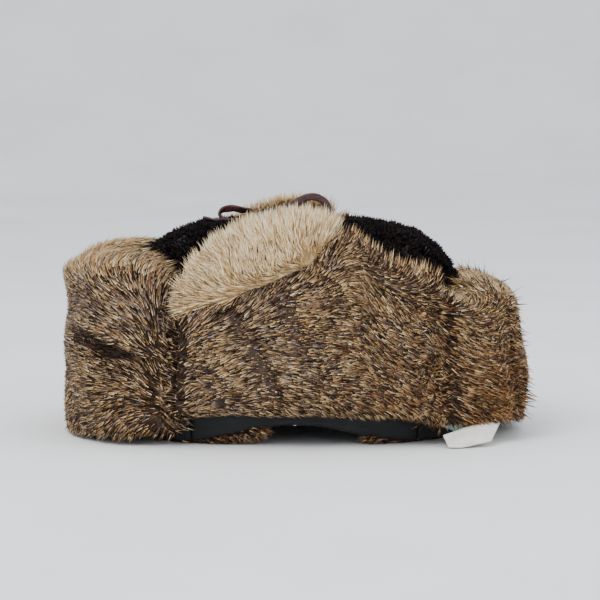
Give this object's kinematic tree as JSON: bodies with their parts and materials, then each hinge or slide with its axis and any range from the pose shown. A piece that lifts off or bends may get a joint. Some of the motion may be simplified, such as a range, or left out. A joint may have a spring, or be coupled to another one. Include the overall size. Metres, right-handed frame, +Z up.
{
  "type": "trapper hat",
  "caption": "Fur-covered winter hat with a sheared crown, ear flaps, visor and nape flap folded up, and leather laces tied in a bow on top.",
  "frame": {"origin": "on the surface the hat stands on, under the middle of the crown, which is also the middle of the hat's length and width", "axes": "+X towards the nape, so the wearer faces -X; +Y towards the wearer's right ear; +Z up"},
  "size_m": [0.2938, 0.2286, 0.1505],
  "materials": {
    "sheared_fur": "matte",
    "brown_fur": "matte",
    "cream_fur": "matte",
    "suede": "matte",
    "lining_satin": "satin",
    "band_cloth": "matte",
    "lace_leather": "satin",
    "label_white": "satin",
    "label_mint": "satin"
  },
  "bodies": {
    "crown": {"crown_back": "sheared_fur", "lining_back": "lining_satin", "crown_right": "sheared_fur", "lining_right": "lining_satin", "crown_front": "sheared_fur", "lining_front": "lining_satin", "crown_left": "sheared_fur", "lining_left": "lining_satin", "hem_binding": "band_cloth", "sweatband": "band_cloth", "maker_label": "label_white", "size_label": "label_mint"},
    "front_flap": {"front_flap_fur": "brown_fur", "front_flap_backing": "suede"},
    "nape_flap": {"nape_flap_fur": "brown_fur", "nape_flap_backing": "suede"},
    "left_ear_flap": {"left_ear_fur": "brown_fur", "left_ear_tip_fur": "cream_fur", "left_ear_backing": "suede", "left_lace_tab": "lace_leather"},
    "left_corner": {"left_corner_fur": "brown_fur", "left_corner_backing": "suede"},
    "left_lace_tie": {"left_lace": "lace_leather", "bow_knot": "lace_leather"},
    "right_ear_flap": {"right_ear_fur": "brown_fur", "right_ear_tip_fur": "cream_fur", "right_ear_backing": "suede", "right_lace_tab": "lace_leather"},
    "right_corner": {"right_corner_fur": "brown_fur", "right_corner_backing": "suede"},
    "right_lace_tie": {"right_lace": "lace_leather"}
  },
  "joints": [
    {"name": "front_flap_fold", "type": "hinge", "parent": "crown", "child": "front_flap", "pos_m": [-0.1112, 0, 0.001], "axis": [0, -1, 0], "range_deg": [0, 100]},
    {"name": "nape_fold", "type": "hinge", "parent": "crown", "child": "nape_flap", "pos_m": [0.1112, 0, 0.001], "axis": [0, 1, 0], "range_deg": [0, 138]},
    {"name": "left_ear_fold", "type": "hinge", "parent": "crown", "child": "left_ear_flap", "pos_m": [0, -0.0912, 0.014], "axis": [1, 0, 0], "range_deg": [0, 175]},
    {"name": "left_corner_fold", "type": "hinge", "parent": "crown", "child": "left_corner", "pos_m": [0.09128, -0.06428, 0.006], "axis": [0.6879, 0.7258, 0], "range_deg": [0, 138], "deforming": ["maker_label", "size_label"]},
    {"name": "left_lace_swing", "type": "hinge", "parent": "left_ear_flap", "child": "left_lace_tie", "pos_m": [-0.01, -0.0745, 0.1312], "axis": [1, 0, 0], "range_deg": [0, 88], "deforming": ["left_lace", "bow_knot"]},
    {"name": "right_ear_fold", "type": "hinge", "parent": "crown", "child": "right_ear_flap", "pos_m": [0, 0.0912, 0.014], "axis": [-1, 0, 0], "range_deg": [0, 175]},
    {"name": "right_corner_fold", "type": "hinge", "parent": "crown", "child": "right_corner", "pos_m": [0.09128, 0.06428, 0.006], "axis": [-0.6879, 0.7258, 0], "range_deg": [0, 138]},
    {"name": "right_lace_swing", "type": "hinge", "parent": "right_ear_flap", "child": "right_lace_tie", "pos_m": [-0.01, 0.0745, 0.1312], "axis": [-1, 0, 0], "range_deg": [0, 88], "deforming": ["right_lace"]}
  ],
  "couplings": [
    {"joint": "left_corner_fold", "follows": "nape_fold", "ratio": 1},
    {"joint": "left_lace_swing", "follows": "left_ear_fold", "ratio": 0.5},
    {"joint": "right_corner_fold", "follows": "nape_fold", "ratio": 1},
    {"joint": "right_lace_swing", "follows": "right_ear_fold", "ratio": 0.5}
  ]
}
